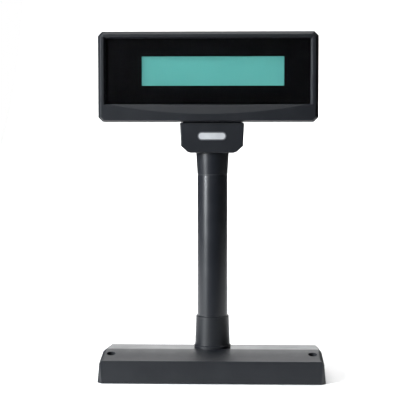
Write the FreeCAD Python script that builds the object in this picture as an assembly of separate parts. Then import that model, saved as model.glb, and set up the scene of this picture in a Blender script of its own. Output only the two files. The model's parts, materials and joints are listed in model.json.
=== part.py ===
import FreeCAD, Part
import math
import os

# Customer pole display: a two-line liquid-crystal head that tilts on a neck, a neck that
# swivels on a round pole, and a weighted base.
#
# Frame, in millimetres: +X to the viewer's right, +Y away from the viewer, +Z up.
# The origin is where the pole's axis meets the surface that the base stands on.
# Three rigid groups: the base and pole, the neck, and the head.

V = FreeCAD.Vector
X, Y, Z = V(1, 0, 0), V(0, 1, 0), V(0, 0, 1)

# ---- Base -------------------------------------------------------------------------------
BASE_HALF_WIDTH = 117.4        # at the bottom rim
BASE_FRONT, BASE_REAR = -48.5, 46.0
BASE_RIM = 0.5                 # the shell's rim stands this far above the table
BASE_WALL = 2.5
FRONT_LEAN, END_LEAN = 0.085, 0.098   # inward run per mm of height
RIDGE_Y, RIDGE_Z = -16.0, 30.5
FRONT_SLOPE, REAR_SLOPE = 0.232, 0.100   # mean fall per mm away from the ridge
CROWN_R, CROWN_START = 150.0, 7.1        # the front slope is an arc; its slope at the ridge, degrees
CORNER_CUT = 5.0               # plan chamfer of the four upright corners
END_BEVEL = 2.8                # bevel between the top and each end
BASE_EDGE_R = 0.7              # rounding of the long top edges
OVER_BASE = 40.0               # a height clear above the base, for drilling through it
OVER_PLATE = 9.0               # a height clear above the bottom plate
BOSS_INSET = 1.2               # the roof left over a boss, measured from the outer form
COUNTER_HOLE_X, COUNTER_HOLE_Y = 104.5, -30.0
COUNTER_HOLE_R, COUNTER_SINK_R, COUNTER_SINK_Z = 2.5, 4.7, 10.0
COUNTER_BOSS_R = 6.5
PLATE_Z0, PLATE_Z1 = 2.2, 3.7  # the steel bottom plate
PLATE_GAP = 0.3                # between the plate's edge and the shell
PLATE_BOSS_R, PLATE_PILOT_R, PLATE_PILOT_Z1, PLATE_HOLE_R = 3.6, 1.55, 14.0, 1.7
FOOT_R, FOOT_CHAMFER = 7.0, 0.5
FEET = [(-86, -33), (86, -33), (-96, 31), (96, 31)]
PLATE_SCREWS = [(-108, 8), (108, 8), (-60, -37), (60, -37), (-60, 34), (60, 34)]
BALLAST_X0, BALLAST_X1 = 31.0, 92.0
BALLAST_Y0, BALLAST_Y1, BALLAST_HEIGHT = -28.0, 28.0, 9.0
BALLAST_SCREW_X = (45.0, 78.0)
BALLAST_CHAMFER, BALLAST_HOLE_R, BALLAST_THREAD_R = 1.0, 2.1, 2.05

# ---- Data inlet -------------------------------------------------------------------------
INLET_HALF, INLET_Y0, INLET_Y1 = 15.0, 13.0, 38.6    # the small board
INLET_Z0, INLET_Z1 = 6.0, 7.6
INLET_SCREW_X, INLET_SCREW_Y = 12.0, 17.0
INLET_PILOT_R, INLET_SPACER_R = 1.3, 2.6
JACK_HALF, JACK_Y0, JACK_Y1, JACK_Z1 = 8.0, 27.0, 41.2, 21.0
JACK_FIT = 0.2                 # gap between the jack and the shell's window
MOUTH_HALF, MOUTH_Y0, MOUTH_Z0, MOUTH_Z1 = 5.9, 30.0, 10.2, 17.2
LATCH_HALF, LATCH_Y0, LATCH_Z1 = 3.1, 33.0, 19.4
CONTACTS, CONTACT_PITCH, CONTACT_HALF = 8, 1.02, 0.25
CONTACT_Y0, CONTACT_Y1, CONTACT_HEIGHT = 31.0, 38.0, 0.8
PLUG_HALF, PLUG_Y0, PLUG_Y1, PLUG_Z1 = 6.0, 15.0, 21.0, 13.8

# ---- Pole -------------------------------------------------------------------------------
SOCKET_Z0, SOCKET_SEAT, SOCKET_Z1 = 13.0, 34.0, 64.3
SOCKET_SPIGOT_R, SOCKET_BORE_R = 15.0, 11.0
SOCKET_BEAD_R, SOCKET_BEAD_Z = 19.3, 33.8
SOCKET_FOOT_R, SOCKET_TOP_R = 18.5, 17.35
BOSS_R, BOSS_Z = 23.0, 20.0    # the flat-bottomed boss under the base's roof
NUT_Z0, NUT_FLATS = 14.0, 38.0
TUBE_R0, TUBE_R1, TUBE_BORE_R = 16.1, 15.8, 13.5
TUBE_Z0, TUBE_Z1 = 34.1, 213.1
SOCKET_LIP, SOCKET_EDGE, TUBE_CHAMFER = 0.8, 0.5, 0.4
SLIP_FIT = 0.05                # gap between a part and the hole that locates it
LOCK_SCREW_Z, SPIGOT_SCREW_Z = 48.0, 200.0
LOCK_PILOT_R, LOCK_SEAT_Y, SPIGOT_SEAT_Y = 1.55, 18.1, 15.95
LOWER_LEAD_Z, LOWER_LEAD_TOP = 10.6, 32.0      # where the lead leaves its plug, and turns upright
NECK_JOIN_Z = 244.0            # where the pole's lead meets the neck's

# ---- Swivel -----------------------------------------------------------------------------
SPIGOT_R, SPIGOT_PLUG_R, SPIGOT_BORE_R = 12.0, 13.45, 6.5
SPIGOT_Z0, SPIGOT_Z1 = 187.0, 248.8
SPIGOT_CHAMFER = 0.8
WASHER_R = 15.4
COLLAR_Z0, COLLAR_Z1 = 213.7, 236.0
COLLAR_R0, COLLAR_R1 = 15.95, 17.3
COLLAR_BORE_R = 12.06
COLLAR_NECK_R, FLANGE_R = 15.0, 18.5
FLANGE_Z0, FLANGE_Z1 = 238.4, 240.8
STOP_Z1 = 221.1                # top of the ring groove that the stop lug runs in
STOP_LUG_R, STOP_GROOVE_R = 13.3, 13.5
STOP_LUG_HALF, STOP_LAND_HALF = 10.0, 34.5   # degrees, leaving 135 each way
RING_Z0, RING_Z1, RING_GROOVE_R, RING_R = 244.0, 245.1, 11.0, 13.5
RING_GAP_HALF = 2.2
WAVE_INNER_R, WAVE_OUTER_R, WAVE_RISE, WAVE_THICK = 12.2, 13.7, 0.5, 0.6

# ---- Neck -------------------------------------------------------------------------------
NECK_Z0, NECK_Z1 = 236.1, 267.7
NECK_TOP_HALF, NECK_LOW_HALF = 33.35, 32.25
NECK_Y = 21.0                  # half depth
NECK_WALL = 2.2
NECK_FILLET = 1.6
NECK_SPLIT = 0.03              # half the gap between the two shells
NECK_OUTLINE = [
    (-NECK_TOP_HALF, NECK_Z1), (NECK_TOP_HALF, NECK_Z1),
    (NECK_LOW_HALF, 243.2), (25.6, 237.2), (22.4, NECK_Z0),
    (-22.4, NECK_Z0), (-25.6, 237.2), (-NECK_LOW_HALF, 243.2),
]
NECK_POSTS = [(-26.5, 248.8), (26.5, 248.8), (-27.0, 260.0), (27.0, 260.0)]
NECK_POST_R, NECK_PILOT_R, NECK_HOLE_R = 3.4, 1.3, 1.5
NECK_SINK_R, NECK_SEAT_Y = 2.9, 14.0           # the screws' recess in the rear shell
BRACKET_POSTS = [(-22.5, -9.0), (22.5, -9.0), (-22.5, 9.0), (22.5, 9.0)]
BRACKET_POST_R, BRACKET_PILOT_Z0 = 3.0, 238.0
BADGE_HALF, BADGE_R, BADGE_Z = 10.5, 4.5, 253.5    # a plain oblong with round ends
BADGE_PROUD, BADGE_RECESS, BADGE_RIM = 0.4, 0.8, 1.2
BADGE_INLAY = 0.25
NECK_PLATE_Z0, NECK_PLATE_Z1 = 240.8, 242.8
NECK_PLATE_X, NECK_PLATE_Y, NECK_PLATE_CORNER = 25.5, 13.0, 2.0
NECK_PLATE_BORE_R, NECK_PLATE_HOLE_R = 12.4, 1.6
TURRET_X, TURRET_Z1 = 31.0, 272.0              # a low box on the roof, inside the head's notch
TURRET_WALL = 1.3
SLOT_X, SLOT_Y0, SLOT_Y1 = 17.5, -6.3, 10.3    # the opening in the turret's top

# ---- Tilt hinge -------------------------------------------------------------------------
TILT_Y, TILT_Z = 2.0, 284.0
TILT_R, TILT_HOLE_R = 2.95, 3.03
NECK_EAR_X0, NECK_EAR_X1, NECK_EAR_R = 14.0, 16.0, 8.0
HEAD_EAR_X0, HEAD_EAR_X1, HEAD_EAR_R = 17.0, 19.0, 7.0
HEAD_PLATE_Y0, HEAD_PLATE_Y1 = 12.5, 14.5
HEAD_PLATE_HALF, HEAD_PLATE_Z0, HEAD_PLATE_Z1 = 30.0, 284.5, 306.0
HEAD_PLATE_SCREWS = [(-25, 290), (25, 290), (-25, 301), (25, 301)]
HEAD_PLATE_HOLE_R = 1.6
BOLT_HEAD_X, BOLT_SEAT_X, BOLT_END_X = -24.0, -20.9, 26.6
BOLT_HEAD_R, BOLT_CHAMFER, BOLT_KEY_FLATS, BOLT_KEY_DEPTH = 5.0, 0.6, 4.0, 1.8
NUT_WIDTH, NUT_LENGTH = 10.0, 4.6
FRICTION_R, FRICTION_X0, FRICTION_X1 = 6.2, 16.05, 16.92
SPRING_R, SPRING_X0, SPRING_X1 = 5.8, 19.08, 20.85
HINGE_LEAD_Y = -3.4            # the lead passes in front of the tilt axis

# ---- Head -------------------------------------------------------------------------------
HEAD_X = -4.0                  # the casing sits a little left of the pole
HEAD_HALF_WIDTH = 113.5
HEAD_Z0, HEAD_Z1 = 268.1, 360.9
HEAD_CORNER, HEAD_INNER_CORNER, HEAD_LIP_CORNER = 4.6, 3.2, 2.6
HEAD_FRONT, HEAD_PARTING, HEAD_BEND, HEAD_BACK = -26.0, -8.0, 4.0, 21.0
BEZEL_WALL, BEZEL_BEVEL, BEZEL_FOOT_BEVEL, BEZEL_FILLET = 2.5, 3.3, 1.6, 0.6
WINDOW_PLANE = -22.6           # rear face of the bezel's front wall
WINDOW_HALF_FRONT, WINDOW_HALF_REAR = 107.5, 105.2
WINDOW_Z_FRONT, WINDOW_Z_REAR = (285.9, 354.9), (286.3, 353.5)
CHIN_FACE = -20.6              # rear face of the bezel below the window
SCOOP_RADIUS, SCOOP_DROP, SCOOP_DEPTH = 540.0, 9.6, 2.4
SCOOP_END, SCOOP_FLOOR = 4.0, 0.3      # kept clear of the window's ends and of the rear face
POCKET_HALF, POCKET_Z0, POCKET_Z1 = 108.8, 282.6, 357.2
CASE_POSTS = [(-105.5, 338.0), (105.5, 338.0), (-105.5, 280.0), (105.5, 280.0)]
BEZEL_POST_R, BEZEL_POST_Y0, BEZEL_POST_Y1, BEZEL_RIB_HALF = 3.3, -18.7, -10.2, 1.0
CASE_PILOT_R, CASE_PILOT_Y0 = 1.25, -18.0
CARRIER_PILOT_R, CARRIER_PILOT_Y0 = 1.05, -23.4
COVER_WALL, COVER_FILLET = 2.3, 2.0
LIP_OUT, LIP_IN, LIP_FRONT, LIP_BACK = 2.6, 3.8, 1.8, 1.2      # the lip that locates the bezel
COVER_POST_R, COVER_POST_Y0, CASE_HOLE_R = 3.6, -9.9, 1.6
CASE_SINK_R, CASE_SEAT_Y = 3.1, 8.0
HEAD_BOSS_R, HEAD_PILOT_R, BOARD_BOSS_R, BOARD_PILOT_R = 3.5, 1.25, 2.8, 1.05
BOSS_BACK, PILOT_BACK = 20.0, 19.6             # how far back the cover's bosses and pilots run
COVER_SIDE_INSET, COVER_TOP_INSET, COVER_FOOT_INSET = 3.5, 13.0, 6.0
NOTCH_HALF, NOTCH_TOP, NOTCH_CHEEK, NOTCH_CHEEK_TOP = 37.0, 278.0, 2.0, 284.0
VENT_CENTRES, VENT_ROWS, VENT_Z0, VENT_PITCH = (-66.0, 58.0), 6, 303.0, 6.0
VENT_HALF, VENT_R = 17.0, 1.0

# ---- Display ----------------------------------------------------------------------------
LCD_X, LCD_Z = 0.9, 320.4
LCD_WINDOW_HALF_X, LCD_WINDOW_HALF_Z = 73.4, 15.05
TAPE, TAPE_SETBACK = 0.3, 0.55
LENS_Y0, LENS_Y1 = WINDOW_PLANE + TAPE, CHIN_FACE - 0.05
LENS_GAP = 0.3                 # between the lens and the pocket it lies in
CARRIER_Y0, CARRIER_Y1 = CHIN_FACE, -19.0
CARRIER_HALF, CARRIER_Z0, CARRIER_Z1 = 110.0, 274.0, 356.2
CARRIER_SCREWS = [(-99.0, 277.5), (-4.0, 277.5), (91.0, 277.5)]
CARRIER_HOLE_R, CARRIER_BOSS_R = 1.3, 2.7
LCD_PCB_HALF_X, LCD_PCB_HALF_Z = 90.0, 20.0
LCD_PCB_Y0, LCD_PCB_Y1 = -12.0, -10.4
LCD_CAN_Y0, LCD_CAN_HALF_X, LCD_CAN_HALF_Z, LCD_CAN_WALL = -18.9, 80.0, 18.6, 0.5
LCD_VIEW_HALF_X, LCD_VIEW_HALF_Z = 74.6, 16.2
LCD_GLASS_Y1 = -16.2
LCD_HOLE_X, LCD_HOLE_Z, LCD_HOLE_R = 87.0, 17.0, 1.2
LCD_PILOT_R, LCD_PILOT_Y0 = 1.05, -18.4
CHIP_MIDDLES, CHIP_HALF_X, CHIP_HALF_Z, CHIP_HEIGHT = (-30, 12, 54), 7.0, 6.0, 1.8

# ---- Control board and leads -------------------------------------------------------------
BOARD_X0, BOARD_X1, BOARD_Z0, BOARD_Z1 = -104.0, -40.0, 292.0, 348.0
BOARD_Y0, BOARD_Y1 = 8.0, 9.6
BOARD_HOLE_INSET = 4.0
BOARD_PARTS = [                # x0, x1, z0, z1 and height: chips, a crystal and small passives
    (-84, -70, 322, 336, 1.8), (-62, -52, 326, 334, 1.6), (-90, -82, 303, 307, 3.4),
    (-64, -58, 314, 317, 1.0), (-62, -59.5, 308, 309.6, 0.9), (-57, -54.5, 308, 309.6, 0.9),
]
CAPACITOR_X, CAPACITOR_Z, CAPACITOR_R, CAPACITOR_HEIGHT = (-64, -56), 340.0, 3.1, 7.0
UPPER_PLUG_X, UPPER_PLUG_Y0, UPPER_PLUG_Z = (-53.0, -45.0), 0.2, (300.0, 310.0)
UPPER_LEAD_Y, UPPER_LEAD_Z = 3.2, 305.0
HEADER_X, LCD_HEADER_X1, HEADER_HEIGHT = (-82.0, -66.0), -60.0, 3.0
LCD_HEADER_Z, BOARD_HEADER_Z = (301.6, 306.4), (309.6, 314.4)
RIBBON, RIBBON_Z0, RIBBON_Z1 = 0.5, 304.4, 312.4   # thickness, and its level at each end
HARNESS_R = 2.0

# ---- Screws: length, shank radius, head radius, head height ------------------------------
PLATE_SCREW = (9.5, 1.5, 3.0, 1.6)
BALLAST_SCREW = (10.4, 2.0, 3.8, 2.4)
INLET_SCREW = (5.2, 1.25, 2.4, 1.5)
LOCK_SCREW = (6.5, 1.5, 3.0, 1.6)
SPIGOT_SCREW = (6.0, 1.5, 2.8, 1.5)
NECK_SCREW = (25.0, 1.25, 2.6, 1.8)
BRACKET_SCREW = (4.6, 1.25, 2.6, 1.8)
CASE_SCREW = (25.0, 1.2, 2.8, 1.8)
CARRIER_SCREW = (4.0, 1.0, 2.2, 1.3)
LCD_SCREW = (6.5, 1.0, 2.2, 1.3)
BOARD_SCREW = (7.0, 1.0, 2.2, 1.3)
HEAD_PLATE_SCREW = (6.5, 1.2, 2.7, 1.8)

PARTS = "parts"


# ---- Helpers ----------------------------------------------------------------------------
def save(node, *shapes):
    """Writes one sub-part as parts/NODE.step; several shapes stay separate solids."""
    solids = [solid for shape in shapes for solid in shape.removeSplitter().Solids]
    for solid in solids:
        if not solid.isValid() or solid.Volume <= 0:
            raise ValueError(node + " has a bad solid")
    shape = solids[0] if len(solids) == 1 else Part.makeCompound(solids)
    shape.exportStep(os.path.join(PARTS, node + ".step"))
    print(node, len(solids), round(sum(solid.Volume for solid in solids), 1))


def box(x0, x1, y0, y1, z0, z1):
    return Part.makeBox(x1 - x0, y1 - y0, z1 - z0, V(x0, y0, z0))


def rod(radius, start, end):
    """A cylinder from one point to another."""
    way = end - start
    return Part.makeCylinder(radius, way.Length, start, way)


def upright(radius, x, y, z0, z1):
    return rod(radius, V(x, y, z0), V(x, y, z1))


def level(radius, x, z, y0, y1):
    return rod(radius, V(x, y0, z), V(x, y1, z))


def ring(outer, inner, z0, z1):
    return upright(outer, 0, 0, z0, z1).cut(upright(inner, 0, 0, z0 - 1, z1 + 1))


def turned(points):
    """A solid of revolution about the pole's axis, from (radius, height) points."""
    wire = Part.makePolygon([V(r, 0, z) for r, z in points + points[:1]])
    return Part.Face(wire).revolve(V(0, 0, 0), Z, 360)


def wire_xz(points, y):
    return Part.makePolygon([V(x, y, z) for x, z in points + points[:1]])


def prism_xz(points, y0, y1):
    return Part.Face(wire_xz(points, y0)).extrude(V(0, y1 - y0, 0))


def prism_yz(points, x0, x1):
    wire = Part.makePolygon([V(x0, y, z) for y, z in points + points[:1]])
    return Part.Face(wire).extrude(V(x1 - x0, 0, 0))


def tapered(points0, y0, points1, y1):
    """A straight-sided solid between two outlines with matching corners."""
    return Part.makeLoft([wire_xz(points0, y0), wire_xz(points1, y1)], True, True)


def cut_corner_rectangle(x0, x1, z0, z1, cut):
    return [
        (x0 + cut, z0), (x1 - cut, z0), (x1, z0 + cut), (x1, z1 - cut),
        (x1 - cut, z1), (x0 + cut, z1), (x0, z1 - cut), (x0, z0 + cut),
    ]


def rectangle(x0, x1, z0, z1):
    return [(x0, z0), (x1, z0), (x1, z1), (x0, z1)]


def joined(first, *others):
    return first.fuse(list(others))


def without(first, *others):
    return first.cut(list(others))


def edges_where(shape, test):
    """The edges whose two ends both pass a test on the point."""
    return [e for e in shape.Edges if all(test(v.Point) for v in e.Vertexes)]


def half_space_cut(shape, point, normal, reach=400.0):
    """Removes everything beyond the plane through point with this outward normal."""
    block = Part.makeBox(reach, reach, reach, V(-reach / 2, -reach / 2, 0))
    block.Placement = FreeCAD.Placement(point, FreeCAD.Rotation(Z, normal))
    return shape.cut(block)


def screw(seat, way, length, shank_r, head_r, head_h):
    """A cross-head screw: seat is under the head and way points to the tip."""
    way = V(way).normalize()
    top = seat - way * head_h
    dome = Part.makeCone(head_r, 0.72 * head_r, 0.45 * head_h, seat - way * 0.55 * head_h, -way)
    body = joined(rod(head_r, seat, seat - way * 0.55 * head_h), dome)
    side = way.cross(X if abs(way.x) < 0.5 else Z).normalize()
    arm, depth, slot = 1.1 * head_r, 0.6 * head_h, 0.28 * head_r
    recess = []
    for long_way, short_way in ((side, way.cross(side)), (way.cross(side), side)):
        corner = top - long_way * arm / 2 - short_way * slot / 2 - way * 0.01
        bar = Part.Face(Part.makePolygon([
            corner, corner + long_way * arm, corner + long_way * arm + short_way * slot,
            corner + short_way * slot, corner]))
        recess.append(bar.extrude(way * (depth + 0.01)))
    tip = Part.makeCone(shank_r, 0.4 * shank_r, shank_r, seat + way * (length - shank_r), way)
    shank = rod(shank_r, seat - way * 0.1, seat + way * (length - shank_r))
    return without(joined(body, shank, tip), *recess)


def rounded_path(points):
    """Straight runs joined by tangent arcs, each as large as its two runs allow."""
    edges, start = [], points[0]
    for before, corner, after in zip(points, points[1:], points[2:]):
        into, out = corner - before, after - corner
        half_turn = into.getAngle(out) / 2
        reach = 0.45 * min(into.Length, out.Length)
        into, out = V(into).normalize(), V(out).normalize()
        first, last = corner - into * reach, corner + out * reach
        radius = reach / math.tan(half_turn)
        inward = (out - into).normalize()
        middle = corner + inward * (radius / math.cos(half_turn) - radius)
        edges.append(Part.LineSegment(start, first).toShape())
        edges.append(Part.Arc(first, middle, last).toShape())
        start = last
    edges.append(Part.LineSegment(start, points[-1]).toShape())
    return Part.Wire(edges)


def tube_along(points, radius):
    path = rounded_path(points)
    profile = Part.Wire(Part.Circle(points[0], points[1] - points[0], radius).toShape())
    pipe = path.makePipeShell([profile], True, False)
    expected = math.pi * radius ** 2 * path.Length
    if abs(pipe.Volume - expected) > 0.01 * expected:
        raise ValueError("a swept tube has the wrong volume")
    return pipe


# ---- Base -------------------------------------------------------------------------------
def base_body(inset, z0, z1=60.0):
    """The base's outer form, moved inward by inset, between two heights."""
    front, rear = V(0, -1, FRONT_LEAN).normalize(), V(0, 1, FRONT_LEAN).normalize()
    slopes = [V(0, -FRONT_SLOPE, 1).normalize(), V(0, REAR_SLOPE, 1).normalize()]
    ridge = V(0, RIDGE_Y, RIDGE_Z)
    planes = [(V(0, BASE_FRONT, 0), front), (V(0, BASE_REAR, 0), rear), (ridge, slopes[1])]
    for side in (-1, 1):
        end = V(side, 0, END_LEAN).normalize()
        planes.append((V(side * BASE_HALF_WIDTH, 0, 0), end))
        edge = V(side * (BASE_HALF_WIDTH - END_LEAN * RIDGE_Z), RIDGE_Y, RIDGE_Z)
        for slope in slopes:
            bevel = (slope + end).normalize()
            planes.append((edge - bevel * END_BEVEL * math.sqrt(0.5), bevel))
        for y, way in ((BASE_FRONT, -1), (BASE_REAR, 1)):
            corner = V(side * (BASE_HALF_WIDTH - CORNER_CUT), y, 0)
            planes.append((corner, V(side, way, 0).normalize()))
    start = math.radians(CROWN_START)
    centre = ridge - V(0, -math.sin(start), math.cos(start)) * CROWN_R
    crown = rod(CROWN_R - inset, centre - X * 130, centre + X * 130)
    body = box(-130, 130, -60, 60, z0, z1).common(crown)
    for point, normal in planes:
        body = half_space_cut(body, point - normal * inset, normal)
    return body


def make_base_shell(outer):
    inner = base_body(BASE_WALL, 0.0)
    soft = [edge for edge in edges_where(outer, lambda p: p.z > BASE_RIM + 0.5)
            if edge.Length > BASE_HALF_WIDTH]
    shell = without(outer.makeFillet(BASE_EDGE_R, soft), inner)
    roof = base_body(BOSS_INSET, PLATE_Z1)
    posts = [upright(COUNTER_BOSS_R, s * COUNTER_HOLE_X, COUNTER_HOLE_Y, PLATE_Z1, OVER_BASE)
             for s in (-1, 1)]
    posts += [upright(PLATE_BOSS_R, x, y, PLATE_Z1, OVER_BASE) for x, y in PLATE_SCREWS]
    posts.append(upright(BOSS_R, 0, 0, BOSS_Z, OVER_BASE))
    shell = joined(shell, *[post.common(roof) for post in posts])
    half = JACK_HALF + JACK_FIT
    holes = [upright(SOCKET_SPIGOT_R + 0.1, 0, 0, 0, OVER_BASE),
             box(-half, half, BASE_REAR - 10, BASE_REAR + 4, INLET_Z1 - JACK_FIT, JACK_Z1 + JACK_FIT)]
    for s in (-1, 1):
        x, y = s * COUNTER_HOLE_X, COUNTER_HOLE_Y
        holes.append(upright(COUNTER_HOLE_R, x, y, 0, OVER_BASE))
        holes.append(upright(COUNTER_SINK_R, x, y, COUNTER_SINK_Z, OVER_BASE))
    holes += [upright(PLATE_PILOT_R, x, y, 0, PLATE_PILOT_Z1) for x, y in PLATE_SCREWS]
    return without(shell, *holes)


def make_base():
    outer = base_body(0.0, BASE_RIM)
    save("base_shell", make_base_shell(outer))

    plate = base_body(BASE_WALL + PLATE_GAP, PLATE_Z0, PLATE_Z1)
    drills = [(COUNTER_HOLE_R, s * COUNTER_HOLE_X, COUNTER_HOLE_Y) for s in (-1, 1)]
    drills += [(PLATE_HOLE_R, x, y) for x, y in PLATE_SCREWS]
    drills += [(BALLAST_THREAD_R, s * x, 0) for s in (-1, 1) for x in BALLAST_SCREW_X]
    drills += [(INLET_PILOT_R, s * INLET_SCREW_X, INLET_SCREW_Y) for s in (-1, 1)]
    save("base_plate", without(plate, *[upright(r, x, y, 0, OVER_PLATE) for r, x, y in drills]))

    seats = [V(x, y, PLATE_Z0) for x, y in PLATE_SCREWS]
    save("base_plate_screws", *[screw(p, Z, *PLATE_SCREW) for p in seats])
    feet = []
    for x, y in FEET:
        foot = upright(FOOT_R, x, y, 0, PLATE_Z0)
        feet.append(foot.makeChamfer(FOOT_CHAMFER, edges_where(foot, lambda p: p.z < 0.1)))
    save("rubber_feet", *feet)

    top = PLATE_Z1 + BALLAST_HEIGHT
    for side, name in ((-1, "ballast_left"), (1, "ballast_right")):
        x0, x1 = sorted((side * BALLAST_X0, side * BALLAST_X1))
        slab = box(x0, x1, BALLAST_Y0, BALLAST_Y1, PLATE_Z1, top)
        slab = slab.makeChamfer(BALLAST_CHAMFER, edges_where(slab, lambda p: p.z > top - 0.1))
        holes = [upright(BALLAST_HOLE_R, side * x, 0, 0, OVER_BASE) for x in BALLAST_SCREW_X]
        save(name, without(slab, *holes))
    seats = [V(s * x, 0, top) for s in (-1, 1) for x in BALLAST_SCREW_X]
    save("ballast_screws", *[screw(p, -Z, *BALLAST_SCREW) for p in seats])
    return outer


def make_inlet():
    """The modular data inlet at the rear of the base, on its own small board."""
    places = [(s * INLET_SCREW_X, INLET_SCREW_Y) for s in (-1, 1)]
    holes = [upright(INLET_PILOT_R, x, y, 0, OVER_PLATE) for x, y in places]
    board = box(-INLET_HALF, INLET_HALF, INLET_Y0, INLET_Y1, INLET_Z0, INLET_Z1)
    save("inlet_board", without(board, *holes))
    spacers = [upright(INLET_SPACER_R, x, y, PLATE_Z1, INLET_Z0) for x, y in places]
    save("inlet_board_spacers", *[without(spacer, *holes) for spacer in spacers])
    save("inlet_board_screws", *[screw(V(x, y, INLET_Z1), -Z, *INLET_SCREW) for x, y in places])

    beyond = JACK_Y1 + 4
    jack = box(-JACK_HALF, JACK_HALF, JACK_Y0, JACK_Y1, INLET_Z1, JACK_Z1)
    mouth = box(-MOUTH_HALF, MOUTH_HALF, MOUTH_Y0, beyond, MOUTH_Z0, MOUTH_Z1)
    latch = box(-LATCH_HALF, LATCH_HALF, LATCH_Y0, beyond, MOUTH_Z1, LATCH_Z1)
    save("inlet_jack", without(jack, mouth, latch))
    middles = [CONTACT_PITCH * (i - (CONTACTS - 1) / 2) for i in range(CONTACTS)]
    save("inlet_contacts", *[
        box(x - CONTACT_HALF, x + CONTACT_HALF, CONTACT_Y0, CONTACT_Y1, MOUTH_Z0,
            MOUTH_Z0 + CONTACT_HEIGHT) for x in middles])
    save("harness_lower_plug", box(-PLUG_HALF, PLUG_HALF, PLUG_Y0, PLUG_Y1, INLET_Z1, PLUG_Z1))


# ---- Pole -------------------------------------------------------------------------------
def hexagon(flats, z0, z1):
    radius = flats / math.sqrt(3)
    points = [V(radius * math.cos(math.radians(a)), radius * math.sin(math.radians(a)), z0)
              for a in range(0, 361, 60)]
    return Part.Face(Part.makePolygon(points)).extrude(V(0, 0, z1 - z0))


def make_socket(base_outer, lock_hole):
    """The socket that the tube stands in; its lower rim follows the base's top."""
    bead = SOCKET_BEAD_R
    cone = turned([
        (SOCKET_BORE_R - 1, BOSS_Z), (bead, BOSS_Z), (bead, SOCKET_BEAD_Z - SOCKET_LIP),
        (bead - SOCKET_LIP, SOCKET_BEAD_Z), (SOCKET_FOOT_R, SOCKET_BEAD_Z),
        (SOCKET_TOP_R, SOCKET_Z1 - SOCKET_EDGE), (SOCKET_TOP_R - SOCKET_EDGE, SOCKET_Z1),
        (SOCKET_BORE_R - 1, SOCKET_Z1),
    ])
    spigot = upright(SOCKET_SPIGOT_R, 0, 0, SOCKET_Z0, OVER_BASE)
    socket = joined(cone.cut(base_outer), spigot)
    socket = without(socket, upright(SOCKET_BORE_R, 0, 0, 0, SOCKET_Z1 + 1),
                     upright(TUBE_R0 + SLIP_FIT, 0, 0, SOCKET_SEAT, SOCKET_Z1 + 1), lock_hole)
    save("pole_socket", socket)
    nut = hexagon(NUT_FLATS, NUT_Z0, BOSS_Z)
    save("socket_nut", nut.cut(upright(SOCKET_SPIGOT_R + SLIP_FIT, 0, 0, 0, OVER_BASE)))
    return socket


def make_spigot(spigot_hole):
    """The spigot that plugs into the tube and carries the swivel, with its stop lug."""
    spigot = joined(upright(SPIGOT_PLUG_R, 0, 0, SPIGOT_Z0, TUBE_Z1),
                    upright(SPIGOT_R, 0, 0, TUBE_Z1 - 1, SPIGOT_Z1))
    spigot = spigot.makeChamfer(SPIGOT_CHAMFER, edges_where(
        spigot, lambda p: p.z > SPIGOT_Z1 - 0.1 or p.z < SPIGOT_Z0 + 0.1))
    lug = sector(SPIGOT_R - 1, STOP_LUG_R, -90 - STOP_LUG_HALF, -90 + STOP_LUG_HALF,
                 TUBE_Z1 + 1.0, STOP_Z1 - 0.5)
    bore = upright(SPIGOT_BORE_R, 0, 0, SPIGOT_Z0 - 1, SPIGOT_Z1 + 1)
    groove = ring(SPIGOT_R + 1, RING_GROOVE_R, RING_Z0, RING_Z1)
    save("swivel_spigot", without(joined(spigot, lug), bore, groove, spigot_hole))


def make_pole(base_outer):
    lock_hole = rod(LOCK_PILOT_R, V(0, 0, LOCK_SCREW_Z), V(0, 30, LOCK_SCREW_Z))
    socket = make_socket(base_outer, lock_hole)

    tube = Part.makeCone(TUBE_R0, TUBE_R1, TUBE_Z1 - TUBE_Z0, V(0, 0, TUBE_Z0), Z)
    tube = tube.makeChamfer(TUBE_CHAMFER, edges_where(tube, lambda p: p.z > TUBE_Z1 - 0.1))
    spigot_hole = rod(LOCK_PILOT_R, V(0, 0, SPIGOT_SCREW_Z), V(0, 30, SPIGOT_SCREW_Z))
    bore = upright(TUBE_BORE_R, 0, 0, TUBE_Z0 - 1, TUBE_Z1 + 1)
    save("pole_tube", without(tube, bore, lock_hole, spigot_hole))
    lock = screw(V(0, LOCK_SEAT_Y, LOCK_SCREW_Z), -Y, *LOCK_SCREW)
    save("pole_lock_screw", without(lock, socket))
    save("spigot_lock_screw", screw(V(0, SPIGOT_SEAT_Y, SPIGOT_SCREW_Z), -Y, *SPIGOT_SCREW))

    make_spigot(spigot_hole)
    save("thrust_washer", ring(WASHER_R, STOP_GROOVE_R, TUBE_Z1, COLLAR_Z0 - SLIP_FIT))
    gap = box(-RING_GAP_HALF, RING_GAP_HALF, 5, 20, RING_Z0 - 1, RING_Z1 + 1)
    clip = ring(RING_R, RING_GROOVE_R + SLIP_FIT, RING_Z0 + SLIP_FIT, RING_Z1 - SLIP_FIT)
    save("retaining_ring", without(clip, gap))
    lower = [V(0, PLUG_Y0, LOWER_LEAD_Z), V(0, 0, LOWER_LEAD_Z), V(0, 0, LOWER_LEAD_TOP)]
    print("lower harness bend radius", round(rounded_path(lower).Edges[1].Curve.Radius, 1))
    save("harness_lower", joined(tube_along(lower, HARNESS_R),
                                 upright(HARNESS_R, 0, 0, LOWER_LEAD_TOP - 1, NECK_JOIN_Z - 0.1)))


def sector(inner, outer, angle0, angle1, z0, z1):
    """Part of a ring about the pole's axis between two angles, in degrees."""
    wedge = Part.makeCylinder(outer, z1 - z0, V(0, 0, z0), Z, angle1 - angle0)
    wedge.rotate(V(0, 0, 0), Z, angle0)
    return wedge.cut(upright(inner, 0, 0, z0 - 1, z1 + 1))


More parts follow.
